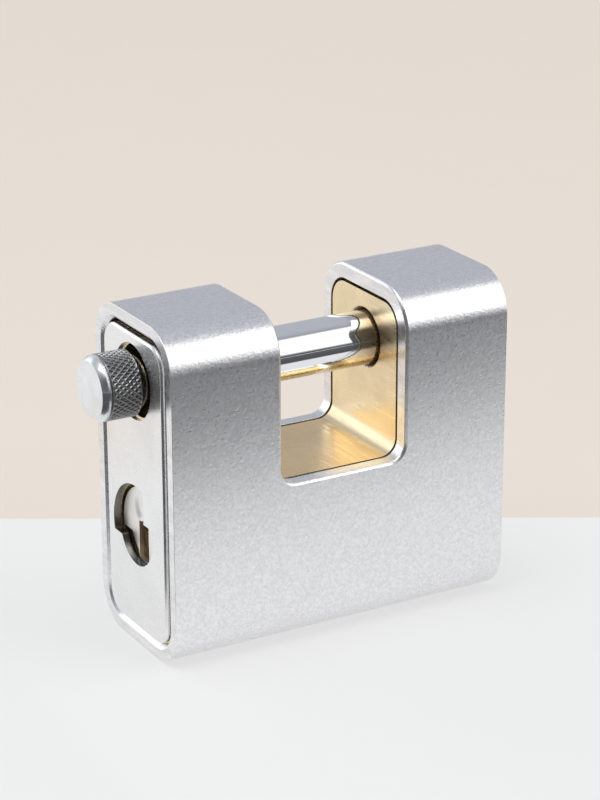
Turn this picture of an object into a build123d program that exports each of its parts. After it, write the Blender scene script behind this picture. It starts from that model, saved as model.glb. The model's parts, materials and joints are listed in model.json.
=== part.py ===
from build123d import *
import math
import os

# Armoured block padlock with a straight sliding bolt, in millimetres.
# Origin at the middle of the base, +Z up, knob and keyhole toward -X, front toward -Y.

# Steel sheath
WIDTH = 70.0
HEIGHT = 64.0
DEPTH = 30.0
SHEATH_RADIUS = 8.0
WALL = 3.0
END_CHAMFER = 0.9
NOTCH_HALF = 13.0
NOTCH_FLOOR = 32.0
NOTCH_CORNER = 3.2
NOTCH_EDGE = 0.4

# Brass body inside the sheath
SIDE_GAP = 0.6
TOP_GAP = 0.6
BODY_HALF_X = 33.8
NOTCH_RECESS = 0.05
BODY_TOP = HEIGHT - WALL - TOP_GAP
BODY_HALF_Y = DEPTH / 2 - WALL - SIDE_GAP
BODY_CORNER = SHEATH_RADIUS - WALL - SIDE_GAP

# End plates
PLATE_T = 1.3
PLATE_BEVEL = 0.35
PLATE_LIFT = 0.25
STUD_R = 1.4
STUD_LENGTH = 4.0
STUD_POINTS = ((-6.5, 8.6), (6.5, 8.6), (-6.5, 39.5), (6.5, 39.5))

# Sliding bolt
BOLT_Z = 51.5
BOLT_R = 5.15
BOLT_BORE_R = 5.22
BOLT_MOUTH_R = 5.9
BOLT_TIP_X = 26.0
BOLT_BORE_END = 29.5
BOLT_SHOULDER_X = -35.65
BOLT_TIP_CHAMFER = 0.9
BOLT_TRAVEL = 39.5
SPIGOT_R = 3.0
SPIGOT_END_X = -42.4
SPIGOT_FIT = 0.02
STOP_PIN_X = -22.0
STOP_PIN_R = 1.25
STOP_SLOT_DEPTH = 1.4

# Pull knob
KNOB_R = 6.1
KNOB_HOLE_R = 7.1
KNOB_WELL_R = 6.85
KNOB_WELL_X = -29.5
SLEEVE_OUT_X = -42.0
SLEEVE_IN_X = -35.7
SLEEVE_CHAMFER = 0.3
CAP_BAND = 0.5
CAP_GAP = 0.05
CAP_RING_OFFSETS = (0.14, 0.44)
CAP_RING_HALF = 0.06
CAP_RING_DEPTH = 0.15
CAP_END_X = -43.5
CAP_FACE_R = 5.3

# Lock cylinder
KEY_Z = 22.3
PLUG_R = 6.2
PLUG_BORE_R = 6.26
HOUSING_R = 8.6
HOUSING_X0 = -31.9
HOUSING_X1 = -4.2
PLUG_X0 = -31.85
PLUG_X1 = -2.6
TOWER_HALF = 3.1
TOWER_BOTTOM = 4.3
TOWER_TOP = KEY_Z - 4.0
GUARD_PIN_R = 0.8
GUARD_PIN_Y = 7.44
GUARD_PIN_END = -24.0
DISC_X0 = -33.5
DISC_T = 0.8
DISC_R = 8.2
DISC_WAIST_R = 4.95
DISC_LOBE_Y = 2.3
DISC_LOBE_Z = 1.6
DISC_SLOT_HALF = 1.85
DISC_SLOT_LOW = -5.9
DISC_SLOT_HIGH = 1.4
DISC_SLIT_HALF = 0.95
DISC_SLIT_HIGH = 6.2
DISH_Z = 4.5
DISH_R = 3.6
DISH_SLOPE = 0.8
DISH_DEPTH = 0.5
GUARD_R = 8.0
FACE_WELL_R = 8.8
APERTURE_R = 9.1
APERTURE_SIDE = -3.0
APERTURE_WIDE_LOW = -2.4
APERTURE_WAIST_R = 6.3
APERTURE_WAIST_HIGH = 2.6

# Keyway and tail of the plug, heights from the plug axis
KEYWAY_HALF = 1.1
KEYWAY_LOW = -4.6
KEYWAY_PAST_PINS = 3.4
WARD_REACH = 1.8
RIGHT_WARD = (-1.2, 0.4)
LEFT_WARD = (1.6, 3.0)
PIN_HOLE_TOP = -0.6
CLIP_GROOVE_R = 5.2
CLIP_GROOVE_W = 0.9
CLIP_R = 6.7
CLIP_BORE_R = 5.24
CLIP_T = 0.8
CLIP_OPENING = 2.5
TAIL_SLOT_DEPTH = 2.2
TAIL_SLOT_HALF = 1.5
TAIL_SLOT_REACH = 4.0
TAIL_FIT = 0.05

# Pin stacks
PIN_XS = (-28.0, -23.6, -19.2, -14.8, -10.4)
KEY_PIN_LENGTHS = (3.6, 4.4, 3.9, 4.5, 4.2)
PIN_R = 1.4
PIN_HOLE_R = 1.45
PIN_TIP = 0.6
SHEAR_Z = KEY_Z - PLUG_R
DRIVER_LENGTH = 4.6
DRIVER_DROP = 0.12
COVER_T = 0.8
COVER_HALF = 2.1
COVER_PAST_PINS = 2.6

# Locking latch in the right arm
LATCH_X = 19.5
LATCH_R = 2.5
LATCH_COLLAR_R = 3.6
LATCH_COLLAR = (31.0, 33.0)
LATCH_TOP = 46.0
LATCH_CHAMFER = 0.4
LATCH_LIFT = 1.8
LATCH_FOOT_Z = KEY_Z + 4.0
CAM_X0 = 17.0
CAM_X1 = 22.0
CAM_CHAMBER_R = 6.9
SHAFT_R = 2.2
JOURNAL_R = 3.0
JOURNAL_END = 25.5
SPRING_SHOULDER_Z = 40.0
BORE_PLUG_TOP = 8.0
CAM_CLEARANCE = 0.28
CAM_LIFT_DEG = 96.0
CAM_FALL_DEG = 60.0

# Rivets through the base
RIVET_POINTS = ((-0.5, -4.5), (-0.5, 4.5), (27.8, -4.5), (27.8, 4.5))
RIVET_R = 1.5
RIVET_TOP = 11.0
RIVET_HEAD_R = 2.4
RIVET_HEAD_T = 0.9

# Running fit of round parts and overshoot of cutters
FIT = 0.06
OVER = 1.0
FAR = 20.0


def rod(radius, start, length, direction):
    """Solid cylinder from a start point along a direction."""
    plane = Plane(origin=start, z_dir=direction)
    return plane * Cylinder(radius, length, align=(Align.CENTER, Align.CENTER, Align.MIN))


def rod_x(radius, x0, x1, y=0.0, z=0.0):
    """Solid cylinder along X between two stations."""
    return rod(radius, (x0, y, z), x1 - x0, (1, 0, 0))


def rod_z(radius, z0, z1, x=0.0, y=0.0):
    """Solid cylinder along Z between two heights."""
    return rod(radius, (x, y, z0), z1 - z0, (0, 0, 1))


def box(x0, x1, y0, y1, z0, z1):
    """Axis-aligned block between two corners."""
    centre = ((x0 + x1) / 2, (y0 + y1) / 2, (z0 + z1) / 2)
    return Pos(*centre) * Box(x1 - x0, y1 - y0, z1 - z0)


def rounded_bar(x0, x1, half_y, z0, z1, radius):
    """Rounded-rectangle section running along X."""
    plane = Plane(origin=(x0, 0, (z0 + z1) / 2), x_dir=(0, 1, 0), z_dir=(1, 0, 0))
    section = plane * RectangleRounded(2 * half_y, z1 - z0, radius)
    return extrude(section, x1 - x0, dir=(1, 0, 0))


def yz_face(x, points):
    """Flat polygon in the plane across X, from (y, z) points."""
    loop = Polyline(*[(x, y, z) for y, z in points], close=True)
    return make_face(loop)


def notch_cutter(half, floor, corner, top):
    """Block that opens the gap for the hasp, with rounded bottom corners."""
    plane = Plane(origin=(0, -DEPTH, 0), x_dir=(1, 0, 0), z_dir=(0, 1, 0))
    reach = top + corner
    sketch = RectangleRounded(2 * half, reach - floor, corner)
    centred = Pos(0, -(floor + reach) / 2) * sketch
    return extrude(plane * centred, 2 * DEPTH, dir=(0, 1, 0))


def end_bevel(side):
    """Wedge that bevels the inner edge of the sleeve at one end."""
    inner_radius = SHEATH_RADIUS - WALL
    size_y = 2 * (DEPTH / 2 - WALL)
    size_z = HEIGHT - 2 * WALL
    end_x = side * WIDTH / 2
    inside = Plane(
        origin=(end_x - side * END_CHAMFER, 0, HEIGHT / 2), x_dir=(0, 1, 0), z_dir=(side, 0, 0)
    )
    outside = Plane(origin=(end_x, 0, HEIGHT / 2), x_dir=(0, 1, 0), z_dir=(side, 0, 0))
    small = inside * RectangleRounded(size_y, size_z, inner_radius)
    grow = 2 * END_CHAMFER
    large = outside * RectangleRounded(size_y + grow, size_z + grow, inner_radius + END_CHAMFER)
    return loft([small, large])


def notch_rim(sheath):
    """Outside edges of the hasp gap, all the way round."""
    near = 0.01
    rim = []
    for edge in sheath.edges():
        low, high = edge.bounding_box().min, edge.bounding_box().max
        in_gap = low.X > -NOTCH_HALF - near and high.X < NOTCH_HALF + near
        on_side = high.Y < -DEPTH / 2 + near or low.Y > DEPTH / 2 - near
        on_top = low.Z > HEIGHT - near
        on_corner = edge.geom_type == GeomType.CIRCLE and abs(edge.radius - SHEATH_RADIUS) < near
        if in_gap and low.Z > NOTCH_FLOOR - near and (on_side or on_top or on_corner):
            rim.append(edge)
    return rim


def rivet_head(x, y):
    """Countersunk head, flush with the base."""
    head = Cone(
        RIVET_HEAD_R, RIVET_R, RIVET_HEAD_T, align=(Align.CENTER, Align.CENTER, Align.MIN)
    )
    return Pos(x, y, 0) * head


def make_sheath():
    """Hardened steel sleeve with the hasp gap cut through the top."""
    outer = rounded_bar(-WIDTH / 2, WIDTH / 2, DEPTH / 2, 0, HEIGHT, SHEATH_RADIUS)
    inner_radius = SHEATH_RADIUS - WALL
    inner = rounded_bar(-WIDTH, WIDTH, DEPTH / 2 - WALL, WALL, HEIGHT - WALL, inner_radius)
    sheath = outer - inner
    for side in (-1, 1):
        sheath -= end_bevel(side)
    sheath -= notch_cutter(NOTCH_HALF, NOTCH_FLOOR, NOTCH_CORNER, HEIGHT + 5)
    sheath = chamfer(notch_rim(sheath), NOTCH_EDGE)
    for x, y in RIVET_POINTS:
        sheath -= rod_z(RIVET_R, -OVER, WALL + OVER, x, y)
        sheath -= rivet_head(x, y)
    return sheath


def body_bores():
    """Everything bored out of the brass body."""
    cutters = [
        rod_x(BOLT_BORE_R, -BODY_HALF_X - OVER, BOLT_BORE_END, z=BOLT_Z),
        rod_x(KNOB_WELL_R, -BODY_HALF_X - OVER, KNOB_WELL_X, z=BOLT_Z),
        rod_x(FACE_WELL_R, -BODY_HALF_X - OVER, HOUSING_X0, z=KEY_Z),
        rod_x(HOUSING_R + FIT, HOUSING_X0 - FIT, HOUSING_X1, z=KEY_Z),
        box(HOUSING_X0, HOUSING_X1, -TOWER_HALF - FIT, TOWER_HALF + FIT, WALL - OVER, KEY_Z),
        rod_x(CAM_CHAMBER_R, HOUSING_X1 - FIT, CAM_X1 + 0.2, z=KEY_Z),
        rod_x(JOURNAL_R + FIT, CAM_X1, JOURNAL_END + 0.2, z=KEY_Z),
        rod_z(LATCH_R + FIT, KEY_Z, BOLT_Z, LATCH_X),
        rod_z(LATCH_COLLAR_R + FIT, WALL - OVER, SPRING_SHOULDER_Z, LATCH_X),
        rod(STOP_PIN_R, (STOP_PIN_X, 0, BOLT_Z), BODY_HALF_Y + OVER, (0, 1, 0)),
    ]
    for x, y in RIVET_POINTS:
        cutters.append(rod_z(RIVET_R, WALL - OVER, RIVET_TOP, x, y))
    for side in (-1, 1):
        face_x = side * BODY_HALF_X
        for y, z in STUD_POINTS:
            start = (face_x + side * OVER, y, z)
            cutters.append(rod(STUD_R, start, STUD_LENGTH + OVER, (-side, 0, 0)))
    return cutters


def bolt_mouth(x, direction):
    """Countersunk mouth of the bolt bore on a notch wall."""
    depth = BOLT_MOUTH_R - BOLT_BORE_R
    plane = Plane(origin=(x, 0, BOLT_Z), z_dir=(direction, 0, 0))
    return plane * Cone(
        BOLT_MOUTH_R, BOLT_BORE_R, depth, align=(Align.CENTER, Align.CENTER, Align.MIN)
    )


def make_body():
    """Brass block that fills the sheath and guides the bolt."""
    body = rounded_bar(-BODY_HALF_X, BODY_HALF_X, BODY_HALF_Y, WALL, BODY_TOP, BODY_CORNER)
    wall_x = NOTCH_HALF + NOTCH_RECESS
    floor = NOTCH_FLOOR - NOTCH_RECESS
    body -= notch_cutter(wall_x, floor, NOTCH_CORNER, HEIGHT + 5)
    for cutter in body_bores():
        body -= cutter
    body -= bolt_mouth(-wall_x, -1)
    body -= bolt_mouth(wall_x, 1)
    return body


def plate_blank(x0, x1, outside):
    """Rounded end plate with a bevelled outside edge."""
    blank = rounded_bar(x0, x1, BODY_HALF_Y, WALL + PLATE_LIFT, BODY_TOP, BODY_CORNER)
    rim = blank.faces().sort_by(Axis.X)[outside].edges()
    return chamfer(rim, PLATE_BEVEL)


def keyhole_cutter(x0, x1):
    """Two-radius keyhole: a wide upper lobe over a smaller lower lobe."""
    wide = rod_x(APERTURE_R, x0, x1, z=KEY_Z)
    wide &= box(x0, x1, APERTURE_SIDE, FAR, KEY_Z + APERTURE_WIDE_LOW, KEY_Z + FAR)
    narrow = rod_x(APERTURE_WAIST_R, x0, x1, z=KEY_Z)
    narrow &= box(x0, x1, -FAR, FAR, KEY_Z - FAR, KEY_Z + APERTURE_WAIST_HIGH)
    return wide + narrow


def make_left_plate():
    """End plate with the knob hole and the keyhole."""
    x1 = -BODY_HALF_X
    x0 = x1 - PLATE_T
    plate = plate_blank(x0, x1, 0)
    plate -= rod_x(KNOB_HOLE_R, x0 - OVER, x1 + OVER, z=BOLT_Z)
    plate -= keyhole_cutter(x0 - OVER, x1 + OVER)
    return plate


def make_right_plate():
    """Plain end plate."""
    return plate_blank(BODY_HALF_X, BODY_HALF_X + PLATE_T, -1)


def make_studs(side):
    """Four studs that hold an end plate on the body."""
    face_x = side * BODY_HALF_X
    return [rod(STUD_R, (face_x, y, z), STUD_LENGTH, (-side, 0, 0)) for y, z in STUD_POINTS]


def make_rivets():
    """Countersunk rivets that fix the body in the sheath."""
    rivets = []
    for x, y in RIVET_POINTS:
        rivets.append(rod_z(RIVET_R, 0, RIVET_TOP, x, y) + rivet_head(x, y))
    return rivets


def make_bolt():
    """Straight bolt with a spigot for the knob, a stop slot and a latch slot."""
    bolt = rod_x(BOLT_R, BOLT_SHOULDER_X, BOLT_TIP_X, z=BOLT_Z)
    bolt = chamfer(bolt.faces().sort_by(Axis.X)[-1].edges(), BOLT_TIP_CHAMFER)
    bolt += rod_x(SPIGOT_R, SPIGOT_END_X, BOLT_SHOULDER_X, z=BOLT_Z)
    slot_x0 = STOP_PIN_X - STOP_PIN_R - 0.1
    slot_x1 = STOP_PIN_X + STOP_PIN_R + BOLT_TRAVEL + 0.1
    floor_y = BOLT_R - STOP_SLOT_DEPTH
    half = STOP_PIN_R + 0.08
    bolt -= box(slot_x0, slot_x1, floor_y, BOLT_R + OVER, BOLT_Z - half, BOLT_Z + half)
    latch_half = LATCH_R + 0.2
    bolt -= box(
        LATCH_X - latch_half,
        LATCH_X + latch_half,
        -BOLT_R,
        BOLT_R,
        BOLT_Z - BOLT_R - OVER,
        LATCH_TOP + LATCH_LIFT + 0.2,
    )
    return bolt


def make_knob_sleeve():
    """Gripping sleeve on the bolt spigot."""
    sleeve = rod_x(KNOB_R, SLEEVE_OUT_X, SLEEVE_IN_X, z=BOLT_Z)
    sleeve = chamfer(sleeve.edges().filter_by(GeomType.CIRCLE), SLEEVE_CHAMFER)
    bore = rod_x(SPIGOT_R + SPIGOT_FIT, SLEEVE_OUT_X - OVER, SLEEVE_IN_X + OVER, z=BOLT_Z)
    return sleeve - bore


def make_knob_cap():
    """Smooth turned cap that closes the knob, with two fine rings and a wide bevel."""
    band_x = SLEEVE_OUT_X - CAP_BAND
    radius = KNOB_R - CAP_GAP
    cap = rod_x(radius, band_x, SLEEVE_OUT_X, z=BOLT_Z)
    plane = Plane(origin=(band_x, 0, BOLT_Z), z_dir=(-1, 0, 0))
    bevel = Cone(
        radius,
        CAP_FACE_R,
        band_x - CAP_END_X,
        align=(Align.CENTER, Align.CENTER, Align.MIN),
    )
    cap += plane * bevel
    for offset in CAP_RING_OFFSETS:
        x = SLEEVE_OUT_X - offset
        ring = rod_x(KNOB_R + OVER, x - CAP_RING_HALF, x + CAP_RING_HALF, z=BOLT_Z)
        ring -= rod_x(radius - CAP_RING_DEPTH, x - OVER, x + OVER, z=BOLT_Z)
        cap -= ring
    socket = rod_x(SPIGOT_R + SPIGOT_FIT, SPIGOT_END_X - 0.1, SLEEVE_OUT_X + OVER, z=BOLT_Z)
    return cap - socket


def make_stop_pin():
    """Cross pin that keeps the bolt from leaving the body."""
    start_y = BOLT_R - STOP_SLOT_DEPTH + 0.1
    return rod(STOP_PIN_R, (STOP_PIN_X, start_y, BOLT_Z), BODY_HALF_Y - start_y - 0.05, (0, 1, 0))


def make_housing():
    """Cylinder housing with a tower for the driver pins below the plug."""
    housing = rod_x(HOUSING_R, HOUSING_X0, HOUSING_X1, z=KEY_Z)
    housing += box(HOUSING_X0, HOUSING_X1, -TOWER_HALF, TOWER_HALF, TOWER_BOTTOM, TOWER_TOP)
    housing -= rod_x(PLUG_BORE_R, HOUSING_X0 - OVER, HOUSING_X1 + OVER, z=KEY_Z)
    for x in PIN_XS:
        housing -= rod_z(PIN_HOLE_R, TOWER_BOTTOM - OVER, KEY_Z, x)
    housing -= cover_block(0.03)
    for side in (-1, 1):
        y = side * GUARD_PIN_Y
        housing -= rod_x(GUARD_PIN_R, HOUSING_X0 - OVER, GUARD_PIN_END, y=y, z=KEY_Z)
    return housing


def cover_block(grow):
    """Strip that closes the pin chambers."""
    x0 = PIN_XS[0] - COVER_PAST_PINS - grow
    x1 = PIN_XS[-1] + COVER_PAST_PINS + grow
    half = COVER_HALF + grow
    return box(x0, x1, -half, half, TOWER_BOTTOM - grow, TOWER_BOTTOM + COVER_T + grow)


def make_drill_guards():
    """Hardened pins in the front of the housing."""
    places = (-GUARD_PIN_Y, GUARD_PIN_Y)
    return [rod_x(GUARD_PIN_R, HOUSING_X0, GUARD_PIN_END, y=y, z=KEY_Z) for y in places]


def make_plug():
    """Keyed plug with the keyway, five pin holes and a clip groove."""
    plug = rod_x(PLUG_R, PLUG_X0, PLUG_X1, z=KEY_Z)
    x0 = PLUG_X0 - OVER
    x1 = PIN_XS[-1] + KEYWAY_PAST_PINS
    top = KEY_Z + PLUG_R + OVER
    plug -= box(x0, x1, -KEYWAY_HALF, KEYWAY_HALF, KEY_Z + KEYWAY_LOW, top)
    plug -= box(x0, x1, 0, WARD_REACH, KEY_Z + RIGHT_WARD[0], KEY_Z + RIGHT_WARD[1])
    plug -= box(x0, x1, -WARD_REACH, 0, KEY_Z + LEFT_WARD[0], KEY_Z + LEFT_WARD[1])
    for x in PIN_XS:
        plug -= rod_z(PIN_HOLE_R, KEY_Z - PLUG_R - OVER, KEY_Z + PIN_HOLE_TOP, x)
    groove = rod_x(PLUG_R + OVER, HOUSING_X1, HOUSING_X1 + CLIP_GROOVE_W, z=KEY_Z)
    groove -= rod_x(CLIP_GROOVE_R, HOUSING_X1 - OVER, HOUSING_X1 + FAR, z=KEY_Z)
    plug -= groove
    slot_x0 = PLUG_X1 - TAIL_SLOT_DEPTH
    slot_z = (KEY_Z - TAIL_SLOT_REACH, KEY_Z + TAIL_SLOT_REACH)
    plug -= box(slot_x0, PLUG_X1 + OVER, -TAIL_SLOT_HALF, TAIL_SLOT_HALF, *slot_z)
    return plug


def make_clip():
    """Split ring that keeps the plug in its housing."""
    x0 = HOUSING_X1 + 0.03
    clip = rod_x(CLIP_R, x0, x0 + CLIP_T, z=KEY_Z)
    clip -= rod_x(CLIP_BORE_R, x0 - OVER, x0 + FAR, z=KEY_Z)
    clip -= box(x0 - OVER, x0 + FAR, -CLIP_OPENING, CLIP_OPENING, KEY_Z, KEY_Z + FAR)
    return clip


def lobed_disc(x0, x1, radius):
    """Round with two opposite lobes on a smaller waist."""
    upper = box(x0, x1, -DISC_LOBE_Y, FAR, KEY_Z - DISC_LOBE_Z, KEY_Z + FAR)
    lower = box(x0, x1, -FAR, DISC_LOBE_Y, KEY_Z - FAR, KEY_Z + DISC_LOBE_Z)
    lobes = rod_x(radius, x0, x1, z=KEY_Z) & (upper + lower)
    return lobes + rod_x(DISC_WAIST_R, x0, x1, z=KEY_Z)


def disc_slot(x0, x1):
    """Key slot: wide below, a narrow slit above."""
    low = KEY_Z + DISC_SLOT_LOW
    high = KEY_Z + DISC_SLOT_HIGH
    slot = box(x0, x1, -DISC_SLOT_HALF, DISC_SLOT_HALF, low, high)
    return slot + box(x0, x1, -DISC_SLIT_HALF, DISC_SLIT_HALF, low, KEY_Z + DISC_SLIT_HIGH)


def make_key_disc():
    """Plated disc on the front of the plug, with the key slot and a dished seat."""
    x1 = DISC_X0 + DISC_T
    disc = lobed_disc(DISC_X0, x1, DISC_R)
    plane = Plane(origin=(DISC_X0, 0, KEY_Z + DISH_Z), z_dir=(1, 0, 0))
    disc -= plane * Cone(
        DISH_R, DISH_R - DISH_SLOPE, DISH_DEPTH, align=(Align.CENTER, Align.CENTER, Align.MIN)
    )
    return disc - disc_slot(DISC_X0 - OVER, x1 + OVER)


def make_guard_disc():
    """Hardened disc behind the plated one."""
    x0 = DISC_X0 + DISC_T
    guard = rod_x(GUARD_R, x0, HOUSING_X0, z=KEY_Z)
    return guard - disc_slot(x0 - OVER, HOUSING_X0 + OVER)


def key_pin(x, length):
    """Key pin with a coned tip in the keyway and a foot rounded to the plug."""
    top = SHEAR_Z + length
    pin = rod_z(PIN_R, SHEAR_Z, top, x) & rod_x(PLUG_R - 0.02, x - PIN_R, x + PIN_R, z=KEY_Z)
    return chamfer(pin.faces().sort_by(Axis.Z)[-1].edges(), PIN_TIP)


def driver_pin(x):
    """Driver pin just below the shear line."""
    top = SHEAR_Z - DRIVER_DROP
    return rod_z(PIN_R, top - DRIVER_LENGTH, top, x)


def coil(x, z0, z1, radius, wire, turns):
    """Compression spring between two heights."""
    height = z1 - z0 - 2 * wire
    path = Helix(pitch=height / turns, height=height, radius=radius)
    section = Plane(origin=path @ 0, z_dir=path % 0) * Circle(wire)
    return Pos(x, 0, z0 + wire) * sweep(section, path=path)


def cam_outline():
    """Spiral lift curve of the cam as (y, z) points."""
    base_r = LATCH_FOOT_Z - KEY_Z - CAM_CLEARANCE
    points = []
    steps = 60
    for i in range(steps):
        angle = 360.0 * i / steps
        rise = min(angle, CAM_LIFT_DEG) / 90.0 * (LATCH_LIFT - 0.05)
        if angle > CAM_LIFT_DEG:
            rise *= max(0.0, 1.0 - (angle - CAM_LIFT_DEG) / CAM_FALL_DEG)
        radius = base_r + rise
        turn = math.radians(90.0 - angle)
        points.append((radius * math.cos(turn), KEY_Z + radius * math.sin(turn)))
    return points


def make_cam_shaft():
    """Tail shaft with a cam that lifts the latch."""
    shaft = rod_x(SHAFT_R, PLUG_X1 + 0.02, CAM_X0 + 1, z=KEY_Z)
    half = TAIL_SLOT_HALF - TAIL_FIT
    reach = TAIL_SLOT_REACH - 2 * TAIL_FIT
    tongue_x0 = PLUG_X1 - TAIL_SLOT_DEPTH + 0.2
    shaft += box(tongue_x0, PLUG_X1 + OVER, -half, half, KEY_Z - reach, KEY_Z + reach)
    cam = extrude(yz_face(CAM_X0, cam_outline()), CAM_X1 - CAM_X0, dir=(1, 0, 0))
    shaft += cam
    shaft += rod_x(JOURNAL_R, CAM_X1 - 1, JOURNAL_END, z=KEY_Z)
    return shaft


def make_latch():
    """Locking latch with a collar for its return spring."""
    latch = rod_z(LATCH_R, LATCH_FOOT_Z, LATCH_TOP, LATCH_X)
    latch = chamfer(latch.faces().sort_by(Axis.Z)[-1].edges(), LATCH_CHAMFER)
    return latch + rod_z(LATCH_COLLAR_R, *LATCH_COLLAR, LATCH_X)


def make_bore_plug():
    """Plug that closes the latch bore at the base."""
    return rod_z(LATCH_COLLAR_R + 0.02, WALL, BORE_PLUG_TOP, LATCH_X)


def save(name, solids, colour):
    """Write one node; a list of solids stays as separate solids."""
    shape = Compound(children=solids) if isinstance(solids, list) else solids
    shape.label = name
    shape.color = Color(*colour)
    export_step(shape, os.path.join("parts", name + ".step"))


STEEL = (0.62, 0.64, 0.67)
NICKEL = (0.80, 0.80, 0.78)
CHROME = (0.75, 0.77, 0.80)
BRASS = (0.72, 0.56, 0.30)
DARK = (0.25, 0.25, 0.27)

os.makedirs("parts", exist_ok=True)
save("armour_sheath", make_sheath(), STEEL)
save("brass_body", make_body(), BRASS)
save("left_end_plate", make_left_plate(), NICKEL)
save("right_end_plate", make_right_plate(), NICKEL)
save("left_plate_studs", make_studs(-1), STEEL)
save("right_plate_studs", make_studs(1), STEEL)
save("base_rivets", make_rivets(), STEEL)
save("shackle_bolt", make_bolt(), CHROME)
save("knob_sleeve", make_knob_sleeve(), STEEL)
save("knob_cap", make_knob_cap(), CHROME)
save("bolt_stop_pin", make_stop_pin(), STEEL)
save("cylinder_housing", make_housing(), BRASS)
save("chamber_cover", cover_block(0.0), BRASS)
save("drill_guard_pins", make_drill_guards(), DARK)
save("cylinder_plug", make_plug(), BRASS)
save("keyhole_disc", make_key_disc(), NICKEL)
save("drill_guard_disc", make_guard_disc(), DARK)
save("plug_clip", make_clip(), DARK)
save("cam_shaft", make_cam_shaft(), STEEL)
save("latch", make_latch(), STEEL)
save("latch_spring", coil(LATCH_X, LATCH_COLLAR[1], SPRING_SHOULDER_Z, 3.0, 0.3, 5), STEEL)
save("latch_bore_plug", make_bore_plug(), BRASS)
spring_top = SHEAR_Z - DRIVER_DROP - DRIVER_LENGTH
for number, (pin_x, pin_length) in enumerate(zip(PIN_XS, KEY_PIN_LENGTHS), start=1):
    save(f"key_pin_{number}", key_pin(pin_x, pin_length), BRASS)
    save(f"driver_pin_{number}", driver_pin(pin_x), STEEL)
    spring = coil(pin_x, TOWER_BOTTOM + COVER_T, spring_top, 1.05, 0.16, 6)
    save(f"pin_spring_{number}", spring, STEEL)
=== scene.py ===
import json
import math

import bmesh
import bpy
import numpy as np
from mathutils import Matrix, Vector


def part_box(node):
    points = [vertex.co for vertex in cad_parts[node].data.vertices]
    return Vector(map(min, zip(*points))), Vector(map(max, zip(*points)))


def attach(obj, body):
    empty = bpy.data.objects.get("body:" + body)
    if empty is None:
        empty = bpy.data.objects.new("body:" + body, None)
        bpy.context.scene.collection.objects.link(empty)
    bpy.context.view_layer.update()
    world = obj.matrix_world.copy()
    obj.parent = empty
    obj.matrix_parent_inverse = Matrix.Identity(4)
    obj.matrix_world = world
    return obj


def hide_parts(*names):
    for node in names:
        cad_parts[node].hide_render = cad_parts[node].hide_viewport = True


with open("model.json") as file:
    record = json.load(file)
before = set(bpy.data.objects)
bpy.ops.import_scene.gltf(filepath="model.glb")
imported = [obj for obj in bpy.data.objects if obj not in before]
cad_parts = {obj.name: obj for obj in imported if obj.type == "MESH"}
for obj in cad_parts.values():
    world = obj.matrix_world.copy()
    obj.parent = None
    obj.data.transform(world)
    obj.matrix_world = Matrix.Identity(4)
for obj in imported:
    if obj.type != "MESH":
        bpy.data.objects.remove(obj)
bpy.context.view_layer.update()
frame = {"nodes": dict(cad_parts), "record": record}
NODES = frame["nodes"]

# Camera: target and distance in metres, angles in degrees, lens in millimetres
TARGET = Vector((0.00026, 0.00168, 0.04079))
DISTANCE = 0.48208
AZIMUTH = -29.893
ELEVATION = 20.493
ROLL = -0.139
LENS = 116.63

# Floor and the warm card on it: linear colours, places in metres from the object outward
PALE = (0.30, 0.30, 0.30)
PALE_GLOW = (0.57, 0.57, 0.565)
WARM = (0.28, 0.25, 0.225)
WARM_GLOW = (0.535, 0.485, 0.435)
WARM_FROM = 0.041
WARM_TO = 0.90
WARM_HALF = 0.14
FLOOR_SIZE = 8
CARD_RAISE = 0.0002

# Surround: linear colours, ways to look in, and the cosines over which each one fades in
ROOM_FRONT = (0.10, 0.10, 0.105)
ROOM_BACK = (0.48, 0.50, 0.55)
ROOM_WAY = (0, 1, 0.35)
ROOM_EDGE = (-0.35, 0.45)
SOFTBOX = (2.05, 2.05, 2.07)
SOFTBOX_WAY = (0.68, -0.55, 0.49)
SOFTBOX_EDGE = (0.83, 0.93)
GLOW = (1.5, 1.5, 1.5)
GLOW_WAY = (-0.5, 0.85, 0.12)
GLOW_EDGE = (0.80, 0.96)

# Key light, in metres and watts
KEY_PLACE = (-0.25, -0.10, 0.85)
KEY_AIM = (0, 0, 0.03)
KEY_SIZE = (0.6, 0.6)
KEY_POWER = 3.3

# Black card in front, in metres: its near edge runs along y = FLAG_NEAR + FLAG_SLANT * x
FLAG_NEAR = -0.095
FLAG_SLANT = -0.11
FLAG_SIDE = -0.060
FLAG_FAR = -1.5
FLAG_HALF = 1.2
FLAG_RAISE = 0.001

# Painted dark reflection on the bolt beside the right wall of the notch, standing for the
# shaded brass wall it mirrors, in metres
DARK_REFLECTION_FROM = 0.0075
DARK_REFLECTION_TO = 0.0130

# Bored walls, painted dark as shade, in metres: the wells behind the left plate reach
# WELL_REACH from the keyhole's axis, and the bolt's bore reaches BORE_REACH from its own, less
# where it meets the notch
WELL_X = -0.0315
WELL_REACH = 0.0093
BORE_REACH = 0.0073
BORE_MOUTH_REACH = 0.0060
BORE_MOUTH_X = 0.0200
NOTCH_X = 0.0132

# Softened edges: angles in degrees, distance in metres
EDGE_SEGMENTS = 3
EDGE_ANGLE = 28.0
FLAT_ANGLE = 0.6
WELD = 2e-6
FLAT_WEIGHT = 80

# Knurl on the pull knob: depth and plain ends in metres, lead in pitches, bore as a share of
# the radius, angle in degrees; ridges start at KNURL_CREST of the wave's height
KNURL_STARTS = 36
KNURL_DEPTH = 0.00024
KNURL_MARGIN = 0.00035
KNURL_LEAD = 1.35
KNURL_CREST = 0.40
KNURL_PER_START = 12
KNURL_ROWS = 96
KNURL_BORE = 0.49
KNURL_SHARP = 50


def middle_height(node):
    """Height of the middle of a CAD node."""
    low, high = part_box(node)
    return (low.z + high.z) / 2


# Axes of the bolt and of the lock cylinder
BOLT_Z = middle_height("knob_cap")
KEY_Z = middle_height("keyhole_disc")


# ---------------------------------------------------------------- materials


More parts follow.
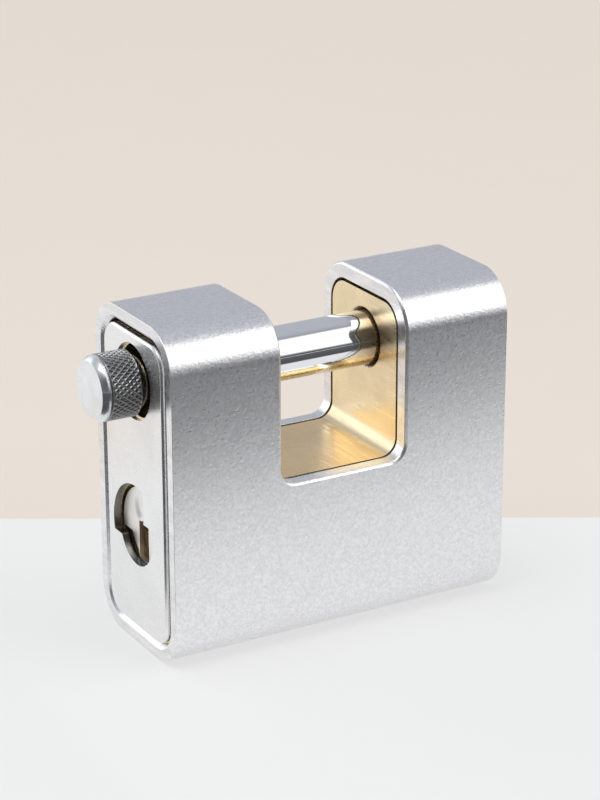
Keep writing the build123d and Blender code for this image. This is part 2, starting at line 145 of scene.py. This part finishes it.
class Shader:
    """A node material with one principled shader and short ways to add to it."""

    def __init__(self, name, color, roughness, metallic=1.0):
        self.material = bpy.data.materials.new(name)
        self.material.use_nodes = True
        self.nodes = self.material.node_tree.nodes
        self.links = self.material.node_tree.links
        self.shader = self.nodes["Principled BSDF"]
        self.shader.inputs["Base Color"].default_value = (*color, 1)
        self.shader.inputs["Roughness"].default_value = roughness
        self.shader.inputs["Metallic"].default_value = metallic
        self.normal = None

    def node(self, kind, **settings):
        made = self.nodes.new(kind)
        for key, value in settings.items():
            setattr(made, key, value)
        return made

    def position(self, scale=(1, 1, 1)):
        """Object-space position, stretched by scale."""
        coordinate = self.node("ShaderNodeTexCoord")
        mapping = self.node("ShaderNodeMapping")
        mapping.inputs["Scale"].default_value = scale
        self.links.new(coordinate.outputs["Object"], mapping.inputs["Vector"])
        return mapping.outputs["Vector"]

    def noise(self, scale, detail=3.0, stretch=(1, 1, 1), roughness=0.5):
        texture = self.node("ShaderNodeTexNoise")
        texture.inputs["Scale"].default_value = scale
        texture.inputs["Detail"].default_value = detail
        texture.inputs["Roughness"].default_value = roughness
        self.links.new(self.position(stretch), texture.inputs["Vector"])
        return texture.outputs["Fac"]

    def ramp(self, value, stops):
        """Colour ramp over value; stops are (place, colour)."""
        ramp = self.node("ShaderNodeValToRGB")
        elements = ramp.color_ramp.elements
        while len(elements) < len(stops):
            elements.new(0.5)
        for element, (place, color) in zip(elements, stops):
            element.position = place
            element.color = (*color, 1)
        self.links.new(value, ramp.inputs["Fac"])
        return ramp.outputs["Color"]

    def spread(self, value, low, high, into):
        """Maps value 0.3..0.7 onto low..high and plugs it into a shader socket."""
        spread = self.node("ShaderNodeMapRange")
        spread.inputs["From Min"].default_value = 0.3
        spread.inputs["From Max"].default_value = 0.7
        spread.inputs["To Min"].default_value = low
        spread.inputs["To Max"].default_value = high
        self.links.new(value, spread.inputs["Value"])
        self.links.new(spread.outputs["Result"], self.shader.inputs[into])

    def color(self, value, stops):
        self.links.new(self.ramp(value, stops), self.shader.inputs["Base Color"])

    def bump(self, value, strength, distance):
        bump = self.node("ShaderNodeBump")
        bump.inputs["Strength"].default_value = strength
        bump.inputs["Distance"].default_value = distance
        self.links.new(value, bump.inputs["Height"])
        if self.normal is not None:
            self.links.new(self.normal, bump.inputs["Normal"])
        self.normal = bump.outputs["Normal"]
        self.links.new(self.normal, self.shader.inputs["Normal"])


def tone(color, factor):
    """Colour made lighter or darker, held within 1."""
    return tuple(min(1.0, c * factor) for c in color)


def satin_chrome():
    """Pearl satin plating with a fine speckle."""
    base = (0.86, 0.86, 0.875)
    m = Shader("satin_chrome", base, 0.30)
    speckle = m.noise(1900.0, 3.0, roughness=0.65)
    m.color(speckle, [(0.38, tone(base, 0.93)), (0.50, base), (0.62, tone(base, 1.07))])
    m.spread(m.noise(1800.0, 3.0), 0.26, 0.34, "Roughness")
    m.bump(speckle, 0.55, 0.00008)
    return m.material


def cut_chrome():
    """Ground and plated cut faces, brighter than the sides."""
    base = (0.87, 0.87, 0.87)
    m = Shader("cut_chrome", base, 0.24)
    grain = m.noise(900.0, 3.0, stretch=(1, 0.2, 1))
    m.color(grain, [(0.3, tone(base, 0.9)), (0.7, tone(base, 1.08))])
    m.spread(m.noise(300.0), 0.20, 0.32, "Roughness")
    m.bump(grain, 0.10, 0.00005)
    return m.material


def satin_nickel():
    """Bright satin nickel of the end plates."""
    base = (0.90, 0.90, 0.895)
    m = Shader("satin_nickel", base, 0.22)
    cloud = m.noise(90.0, 4.0)
    m.color(cloud, [(0.3, tone(base, 0.95)), (0.7, tone(base, 1.05))])
    m.spread(m.noise(500.0, 2.0), 0.22, 0.31, "Roughness")
    m.bump(m.noise(1500.0, 2.0), 0.08, 0.00004)
    return m.material


def warm_nickel():
    """Slightly warm nickel of the keyhole disc."""
    base = (0.93, 0.91, 0.86)
    m = Shader("warm_nickel", base, 0.33)
    cloud = m.noise(160.0, 4.0)
    m.color(cloud, [(0.3, tone(base, 0.93)), (0.7, tone(base, 1.05))])
    m.bump(m.noise(1200.0, 2.0), 0.08, 0.00004)
    return m.material


def machined_brass(name="machined_brass", base=(0.96, 0.81, 0.54), stretch=(1, 0.08, 1)):
    """Milled brass with fine cutter marks."""
    m = Shader(name, base, 0.30)
    marks = m.noise(1400.0, 3.0, stretch=stretch)
    tarnish = m.noise(70.0, 5.0, roughness=0.6)
    m.color(tarnish, [(0.32, tone(base, 0.86)), (0.55, base), (0.72, tone(base, 1.06))])
    m.spread(marks, 0.22, 0.40, "Roughness")
    m.bump(marks, 0.18, 0.00008)
    return m.material


def mirror_chrome():
    """Polished bolt with faint draw lines, browned where it enters the far bore: a painted dark
    reflection of the shaded brass wall.
    """
    base = (0.88, 0.89, 0.90)
    m = Shader("mirror_chrome", base, 0.06)
    lines = m.noise(500.0, 2.0, stretch=(0.05, 1, 1))
    along = m.node("ShaderNodeSeparateXYZ")
    m.links.new(m.position(), along.inputs["Vector"])
    # Brown band along X on the bolt: painted reflection of the shaded brass wall
    dark_reflection = m.node("ShaderNodeMapRange")
    dark_reflection.inputs["From Min"].default_value = DARK_REFLECTION_FROM
    dark_reflection.inputs["From Max"].default_value = DARK_REFLECTION_TO
    m.links.new(along.outputs["X"], dark_reflection.inputs["Value"])
    m.color(dark_reflection.outputs["Result"], [(0.0, base), (1.0, (0.34, 0.28, 0.22))])
    m.spread(lines, 0.04, 0.10, "Roughness")
    m.bump(lines, 0.04, 0.00003)
    return m.material


def turned_chrome():
    """Bright turned face and bevel of the knob cap, faintly clouded."""
    base = (0.87, 0.89, 0.90)
    m = Shader("turned_chrome", base, 0.22)
    m.color(m.noise(250.0, 3.0), [(0.3, tone(base, 0.92)), (0.7, tone(base, 1.05))])
    m.spread(m.noise(700.0, 2.0), 0.17, 0.28, "Roughness")
    m.bump(m.noise(900.0, 2.0), 0.06, 0.00004)
    return m.material


def knurled_steel():
    """Dark grey steel with worn, lighter crests and pits darkened as painted shade."""
    base = (0.28, 0.28, 0.28)
    m = Shader("knurled_steel", base, 0.38)
    geometry = m.node("ShaderNodeNewGeometry")
    # Pointiness: the pits are darkened as painted shade, the worn crests lighter
    m.color(
        geometry.outputs["Pointiness"],
        [(0.43, (0.13, 0.13, 0.13)), (0.50, base), (0.57, (0.42, 0.42, 0.42))],
    )
    m.spread(m.noise(600.0, 3.0), 0.26, 0.42, "Roughness")
    m.bump(m.noise(2500.0, 2.0), 0.15, 0.00004)
    return m.material


def machined_steel(name="machined_steel", base=(0.56, 0.56, 0.57), roughness=0.3):
    """Turned or drawn steel of the inner parts."""
    m = Shader(name, base, roughness)
    grain = m.noise(1100.0, 3.0, stretch=(1, 1, 0.3))
    m.color(grain, [(0.3, tone(base, 0.85)), (0.7, tone(base, 1.12))])
    m.spread(m.noise(500.0, 3.0), roughness - 0.07, roughness + 0.1, "Roughness")
    m.bump(grain, 0.12, 0.00005)
    return m.material


# ---------------------------------------------------------------- pieces


def paint(obj, *materials):
    """Replaces the object's material slots."""
    obj.data.materials.clear()
    for material in materials:
        obj.data.materials.append(material)


def linked(name, data):
    """New object for a mesh, light or camera, linked to the scene."""
    obj = bpy.data.objects.new(name, data)
    bpy.context.scene.collection.objects.link(obj)
    return obj


def show(obj, body, slot, *nodes):
    """Puts a new piece on its body in place of CAD nodes."""
    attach(obj, body)
    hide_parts(*nodes)


def softened(node, name, width):
    """A copy of a CAD node with its sharp edges broken by a small round."""
    mesh = NODES[node].data.copy()
    work = bmesh.new()
    work.from_mesh(mesh)
    bmesh.ops.remove_doubles(work, verts=work.verts, dist=WELD)
    bmesh.ops.dissolve_limit(
        work, angle_limit=math.radians(FLAT_ANGLE), verts=work.verts, edges=work.edges
    )
    work.to_mesh(mesh)
    work.free()
    for polygon in mesh.polygons:
        polygon.use_smooth = True
    obj = linked(name, mesh)
    bevel = obj.modifiers.new("edge", "BEVEL")
    bevel.width = width
    bevel.segments = EDGE_SEGMENTS
    bevel.limit_method = "ANGLE"
    bevel.angle_limit = math.radians(EDGE_ANGLE)
    bevel.use_clamp_overlap = True
    weighted = obj.modifiers.new("normals", "WEIGHTED_NORMAL")
    weighted.keep_sharp = True
    weighted.weight = FLAT_WEIGHT
    depsgraph = bpy.context.evaluated_depsgraph_get()
    final = bpy.data.meshes.new_from_object(obj.evaluated_get(depsgraph))
    obj.modifiers.clear()
    obj.data = final
    return obj


def assign_where(obj, test, index):
    """Gives the faces that pass a test on centre and normal another material slot."""
    for polygon in obj.data.polygons:
        if test(polygon.center, polygon.normal):
            polygon.material_index = index


def in_shaded_keyhole(centre, normal):
    """Walls of the keyhole in the left end plate and of the well behind it, painted dark as
    shade.
    """
    wall = abs(normal.x) < 0.8 and centre.x < WELL_X
    return wall and max(abs(centre.y), abs(centre.z - KEY_Z)) < WELL_REACH


def in_shaded_bores(centre, normal):
    """Bored and turned surfaces of the body, painted dark as shade: bolt bore, its mouths, and
    the wells.
    """
    out = math.hypot(centre.y, centre.z - BOLT_Z)
    reach = BORE_MOUTH_REACH if abs(centre.x) < BORE_MOUTH_X else BORE_REACH
    in_bolt_bore = out < reach and abs(centre.x) > NOTCH_X
    return in_bolt_bore or in_shaded_keyhole(centre, normal)


def triangle_wave(values):
    """Wave of period 1 that is 0 at whole numbers and 1 halfway."""
    return 1.0 - np.abs(2.0 * (values - np.floor(values)) - 1.0)


def ring(x, radii, angles, axis):
    """Points about an axis along X, one for each angle."""
    y, z = axis
    return [(x, y + r * math.cos(a), z + r * math.sin(a)) for a, r in zip(angles, radii)]


def bridge(first, second, count):
    """Faces between two rings, given the index of each ring's first point."""
    turns = [(j, (j + 1) % count) for j in range(count)]
    return [(first + j, first + k, second + k, second + j) for j, k in turns]


def knurl_radii(stations, angles, radius):
    """Radius at each station and angle: crossed ridges over diamond pits, plain at the ends."""
    pitch = 2 * math.pi * radius / KNURL_STARTS
    turn = angles[None, :] * KNURL_STARTS / (2 * math.pi)
    run = (stations[:, None] - stations[0]) / (pitch * KNURL_LEAD)
    rise = np.maximum(triangle_wave(turn + run), triangle_wave(turn - run))
    edge = np.minimum(stations - stations[0], stations[-1] - stations)
    fade = np.clip((edge - KNURL_MARGIN) / KNURL_MARGIN, 0.0, 1.0)[:, None]
    depth = KNURL_DEPTH * (1.0 - np.clip((rise - KNURL_CREST) / KNURL_CREST, 0.0, 1.0)) * fade
    chamfer = np.clip(KNURL_MARGIN - edge, 0.0, None)[:, None]
    return radius - depth - chamfer


def knurled_sleeve(node, name):
    """Knob sleeve with a cut knurl, built from rings of points along X and a plain bore."""
    low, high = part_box(node)
    axis = ((low.y + high.y) / 2, (low.z + high.z) / 2)
    radius = (high.z - low.z) / 2
    around = KNURL_STARTS * KNURL_PER_START
    stations = np.linspace(low.x, high.x, KNURL_ROWS)
    angles = np.arange(around) * (2 * math.pi / around)
    verts = []
    for x, radii in zip(stations, knurl_radii(stations, angles, radius)):
        verts += ring(x, radii, angles, axis)
    for x in (low.x, high.x):
        verts += ring(x, [radius * KNURL_BORE] * around, angles, axis)
    near_bore = KNURL_ROWS * around
    far_bore = near_bore + around
    faces = []
    for row in range(KNURL_ROWS - 1):
        faces += bridge(row * around, (row + 1) * around, around)
    faces += bridge(0, near_bore, around)
    faces += bridge(near_bore - around, far_bore, around)
    faces += bridge(near_bore, far_bore, around)
    mesh = bpy.data.meshes.new(name)
    mesh.from_pydata(verts, [], faces)
    work = bmesh.new()
    work.from_mesh(mesh)
    bmesh.ops.recalc_face_normals(work, faces=work.faces)
    work.to_mesh(mesh)
    work.free()
    for polygon in mesh.polygons:
        polygon.use_smooth = True
    mesh.set_sharp_from_angle(angle=math.radians(KNURL_SHARP))
    return linked(name, mesh)


def build_pieces():
    """Softened or recut copies of the outer pieces, and paint for the inner ones."""
    satin, cut = satin_chrome(), cut_chrome()
    nickel, disc = satin_nickel(), warm_nickel()
    brass = machined_brass()
    inner_brass = machined_brass("turned_brass", (0.70, 0.55, 0.30), (0.1, 1, 1))
    steel = machined_steel()
    hard = machined_steel("hardened_steel", (0.50, 0.44, 0.36), 0.36)
    wire = machined_steel("spring_wire", (0.50, 0.50, 0.52), 0.24)
    # Dark steel for the keyhole walls: painted shade
    keyhole_shade = machined_steel("keyhole_shade_steel", (0.27, 0.27, 0.26), 0.30)

    sheath = softened("armour_sheath", "sheath", 0.0003)
    paint(sheath, satin, cut)
    assign_where(sheath, lambda centre, normal: abs(normal.x) > 0.9, 1)
    show(sheath, "case", "sheath_steel", "armour_sheath")

    body = softened("brass_body", "body_block", 0.0002)
    # Slot 1 is a dark brass for the bores and wells: painted shade
    paint(body, brass, machined_brass("bored_brass_shade", (0.36, 0.30, 0.21), (0.1, 1, 1)))
    # Faces of the body that look up get a darker copy of the brass: painted shade
    body.data.materials.append(machined_brass("floor_brass_shade", (0.93, 0.71, 0.41)))
    assign_where(body, lambda centre, normal: normal.z > 0.95, 2)
    assign_where(body, in_shaded_bores, 1)
    show(body, "case", "body_brass", "brass_body")

    for side in ("left", "right"):
        plate = softened(f"{side}_end_plate", f"{side}_plate", 0.00015)
        paint(plate, nickel, keyhole_shade)
        # The keyhole walls of the left plate take the dark steel: painted shade
        assign_where(plate, in_shaded_keyhole, 1)
        show(plate, "case", "plate_nickel", f"{side}_end_plate")

    bolt = softened("shackle_bolt", "bolt", 0.00012)
    paint(bolt, mirror_chrome())
    show(bolt, "bolt", "bolt_chrome", "shackle_bolt")

    cap = softened("knob_cap", "cap", 0.00008)
    paint(cap, turned_chrome())
    show(cap, "bolt", "cap_chrome", "knob_cap")

    sleeve = knurled_sleeve("knob_sleeve", "sleeve")
    paint(sleeve, knurled_steel())
    show(sleeve, "bolt", "knurl_steel", "knob_sleeve")

    face = softened("keyhole_disc", "key_face", 0.00015)
    paint(face, disc)
    show(face, "plug", "disc_nickel", "keyhole_disc")

    by_slot = {
        "cylinder_brass": inner_brass,
        "fixing_steel": steel,
        "hardened_steel": hard,
        "spring_steel": wire,
    }
    for part in frame["record"]["subparts"]:
        if part["material_slot"] in by_slot:
            paint(NODES[part["node"]], by_slot[part["material_slot"]])


# ---------------------------------------------------------------- stage


def card(name, size, place, turn, material):
    """Level card, turned about Z."""
    mesh = bpy.data.meshes.new(name)
    w, h = size[0] / 2, size[1] / 2
    mesh.from_pydata([(-w, -h, 0), (w, -h, 0), (w, h, 0), (-w, h, 0)], [], [(0, 1, 2, 3)])
    obj = linked(name, mesh)
    obj.location = place
    obj.rotation_euler = (0, 0, turn)
    mesh.materials.append(material)


def matte(name, color, glow=None):
    """Dull card; glow makes it a lit panel, which softens the shadows on it."""
    m = Shader(name, color, 0.85, 0.0)
    m.color(m.noise(30.0, 3.0), [(0.3, color), (0.7, tone(color, 0.98))])
    if glow:
        m.shader.inputs["Emission Color"].default_value = (*glow, 1)
        m.shader.inputs["Emission Strength"].default_value = 1.0
    return m.material


def light(name, place, aim, size, power):
    """White area light at a place, turned to face a point."""
    data = bpy.data.lights.new(name, "AREA")
    data.shape = "RECTANGLE"
    data.size, data.size_y = size
    data.energy = power
    obj = linked(name, data)
    obj.location = place
    obj.rotation_euler = (Vector(aim) - Vector(place)).to_track_quat("-Z", "Y").to_euler()


def build_floor():
    """Pale floor with a warm card lying on it behind the object."""
    size = (FLOOR_SIZE, FLOOR_SIZE)
    card("floor", size, (0, 0, 0), 0, matte("floor_pale", PALE, PALE_GLOW))
    middle = (WARM_FROM + WARM_TO) / 2
    a = math.radians(AZIMUTH)
    place = (-math.sin(a) * middle, math.cos(a) * middle, CARD_RAISE)
    size = (2 * WARM_HALF, WARM_TO - WARM_FROM)
    card("warm_card", size, place, a, matte("warm", WARM, WARM_GLOW))


def mix(tree, factor, a, b):
    """Colour mix node; a and b are colours or sockets."""
    made = tree.nodes.new("ShaderNodeMix")
    made.data_type = "RGBA"
    tree.links.new(factor, made.inputs["Factor"])
    for socket, value in ((made.inputs[6], a), (made.inputs[7], b)):
        if isinstance(value, tuple):
            socket.default_value = (*value, 1)
        else:
            tree.links.new(value, socket)
    return made.outputs[2]


def ease(tree, value, low, high):
    """Smooth step from 0 at low to 1 at high."""
    made = tree.nodes.new("ShaderNodeMapRange")
    made.interpolation_type = "SMOOTHSTEP"
    made.inputs["From Min"].default_value = low
    made.inputs["From Max"].default_value = high
    tree.links.new(value, made.inputs["Value"])
    return made.outputs["Result"]


def toward(tree, way, direction, low, high):
    """How far the surround's direction leans toward another, eased from 0 to 1."""
    dot = tree.nodes.new("ShaderNodeVectorMath")
    dot.operation = "DOT_PRODUCT"
    dot.inputs[1].default_value = Vector(direction).normalized()
    tree.links.new(way, dot.inputs[0])
    return ease(tree, dot.outputs["Value"], low, high)


def build_world():
    """Studio surround: dim room in front, mid grey behind, a softbox and a glow."""
    world = bpy.data.worlds.new("studio")
    world.use_nodes = True
    tree = world.node_tree
    place = tree.nodes.new("ShaderNodeTexCoord")
    way = place.outputs["Generated"]
    surround = mix(tree, toward(tree, way, ROOM_WAY, *ROOM_EDGE), ROOM_FRONT, ROOM_BACK)
    surround = mix(tree, toward(tree, way, SOFTBOX_WAY, *SOFTBOX_EDGE), surround, SOFTBOX)
    surround = mix(tree, toward(tree, way, GLOW_WAY, *GLOW_EDGE), surround, GLOW)
    tree.links.new(surround, tree.nodes["Background"].inputs["Color"])
    bpy.context.scene.world = world


def build_flag():
    """Black L-shaped card on the floor, in front and to the left, seen only in reflections."""
    outline = [(-FLAG_HALF, FLAG_FAR), (FLAG_HALF, FLAG_FAR)]
    outline += [(x, FLAG_NEAR + FLAG_SLANT * x) for x in (FLAG_HALF, FLAG_SIDE)]
    outline += [(FLAG_SIDE, 0), (-FLAG_HALF, 0)]
    mesh = bpy.data.meshes.new("flag")
    mesh.from_pydata([(x, y, FLAG_RAISE) for x, y in outline], [], [(0, 1, 2, 3, 4, 5)])
    flag = linked("flag", mesh)
    mesh.materials.append(matte("flag_black", (0.05, 0.05, 0.055)))
    flag.visible_camera = False
    flag.visible_diffuse = False
    flag.visible_shadow = False


def build_stage():
    build_floor()
    build_flag()
    build_world()
    light("key", KEY_PLACE, KEY_AIM, KEY_SIZE, KEY_POWER)


def build_camera():
    """Camera round TARGET by azimuth and elevation, then rolled about its view."""
    data = bpy.data.cameras.new("camera")
    data.lens = LENS
    data.sensor_width = 36.0
    data.clip_start = 0.01
    camera = linked("camera", data)
    a, e = math.radians(AZIMUTH), math.radians(ELEVATION)
    back = Vector((math.sin(a) * math.cos(e), -math.cos(a) * math.cos(e), math.sin(e)))
    right = (-back).cross(Vector((0, 0, 1))).normalized()
    up = right.cross(-back)
    r = math.radians(ROLL)
    right, up = right * math.cos(r) + up * math.sin(r), up * math.cos(r) - right * math.sin(r)
    turn = Matrix((right, up, back)).transposed()
    camera.matrix_world = Matrix.Translation(TARGET + back * DISTANCE) @ turn.to_4x4()
    bpy.context.scene.camera = camera


bpy.context.scene.view_settings.view_transform = "Standard"
build_camera()
build_pieces()
build_stage()
